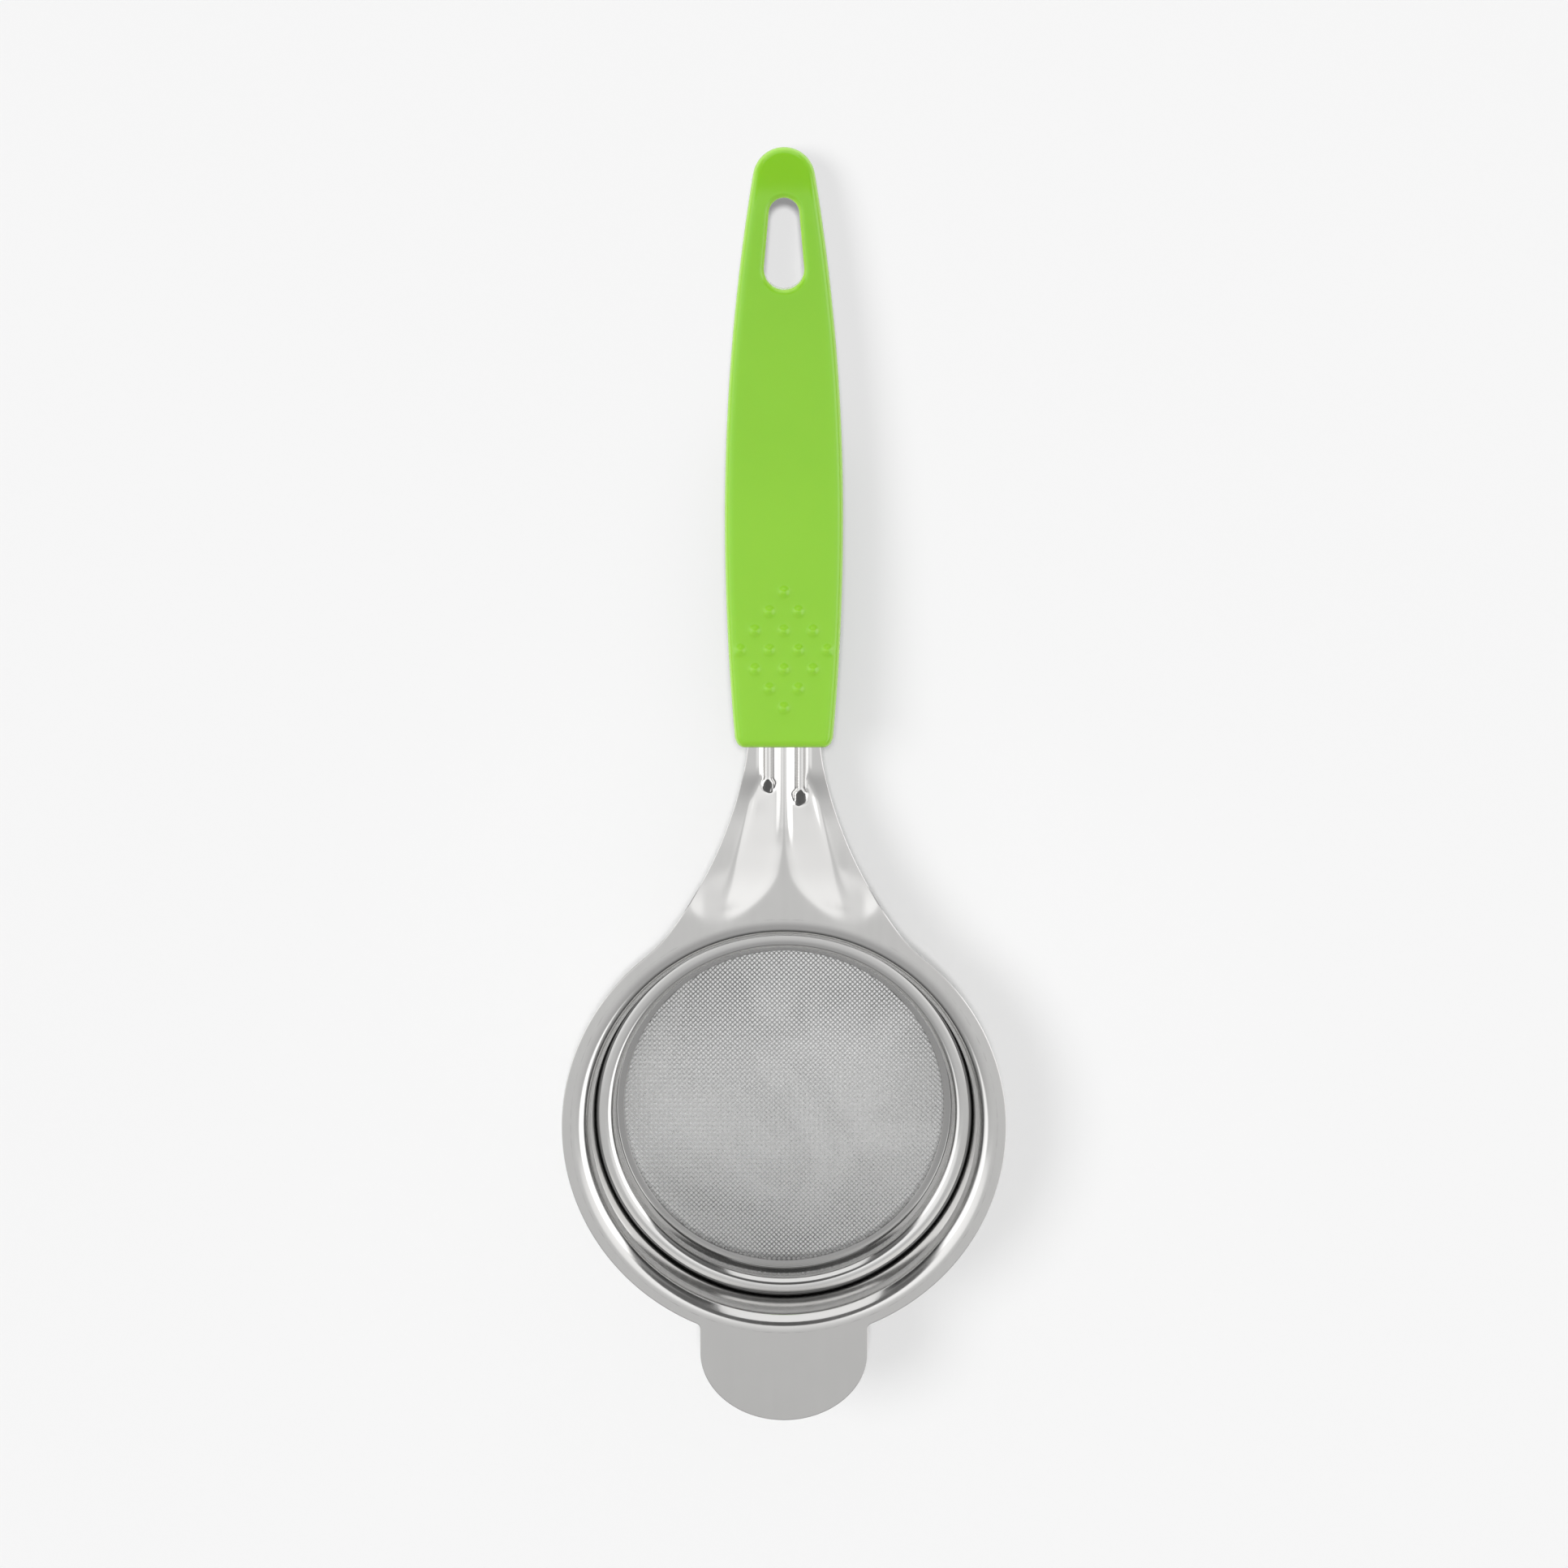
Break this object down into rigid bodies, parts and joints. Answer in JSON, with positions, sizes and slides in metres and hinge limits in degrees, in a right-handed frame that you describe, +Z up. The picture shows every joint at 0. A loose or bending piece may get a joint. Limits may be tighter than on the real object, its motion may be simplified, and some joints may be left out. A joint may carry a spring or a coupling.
{
  "type": "flour sifter",
  "caption": "Long-handled flat sieve: wide steel rim with a rest tab, shallow stepped cup with a woven wire floor, ribbed neck and a moulded handle with a hanging slot.",
  "frame": {"origin": "on the cup's axis, in the plane of the rim's underside, which is the face that seats on a bowl or a jar", "axes": "+Y from the cup along the handle, +Z up out of the cup, +X to the right when the handle points away"},
  "size_m": [0.08, 0.2288, 0.0209],
  "materials": {
    "frame_steel": "polished stainless sheet",
    "ring_steel": "polished stainless sheet",
    "wire": "drawn stainless wire",
    "handle_plastic": "glossy moulded polypropylene, lime green"
  },
  "bodies": {
    "root": {"rim_frame": "frame_steel", "sieve_ring": "ring_steel", "mesh_band": "ring_steel", "warp_wires": "wire", "weft_wires": "wire", "handle": "handle_plastic"}
  },
  "joints": []
}
